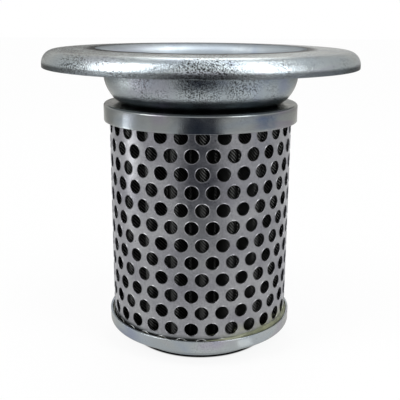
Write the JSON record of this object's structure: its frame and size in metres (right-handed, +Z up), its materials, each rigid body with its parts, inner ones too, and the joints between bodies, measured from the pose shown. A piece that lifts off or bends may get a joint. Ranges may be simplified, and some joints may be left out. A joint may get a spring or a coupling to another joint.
{
  "type": "hydraulic oil strainer",
  "caption": "Upright hydraulic oil strainer: wide pressed flange with a bowl and neck over a perforated cylindrical element with pleated wire mesh, end caps and a sprung relief valve.",
  "frame": {"origin": "on the axis, at the underside of the lower cap's boss, which the strainer stands on", "axes": "+Z up along the axis, from the lower cap to the flange; -Y is the side that the picture shows"},
  "size_m": [0.1428, 0.1428, 0.1382],
  "materials": {
    "plated_flange": "bright zinc plate, lightly speckled",
    "plated_cap": "bright zinc plate",
    "perforated_steel": "satin zinc plate",
    "wire_mesh": "dark woven wire",
    "adhesive": "hardened yellow-green adhesive",
    "plated_small_parts": "zinc plate",
    "seal_rubber": "matt nitrile rubber",
    "spring_steel": "oiled spring steel"
  },
  "bodies": {
    "strainer": {"mounting_flange": "plated_flange", "top_end_cap": "plated_cap", "bottom_end_cap": "plated_cap", "outer_tube": "perforated_steel", "core_tube": "perforated_steel", "pleated_mesh": "wire_mesh", "top_adhesive": "adhesive", "bottom_adhesive": "adhesive", "valve_stem": "plated_small_parts", "spring_retainer": "plated_small_parts", "retainer_nut": "plated_small_parts", "valve_spring": "spring_steel"},
    "relief_valve": {"valve_disc": "plated_small_parts", "valve_seal": "seal_rubber"}
  },
  "joints": [
    {"name": "relief_lift", "type": "slide", "parent": "strainer", "child": "relief_valve", "axis": [0, 0, 1], "range_m": [0, 0.008], "stiffness_N_per_m": 3000, "springref_m": -0.012, "deforming": ["valve_spring"]}
  ]
}
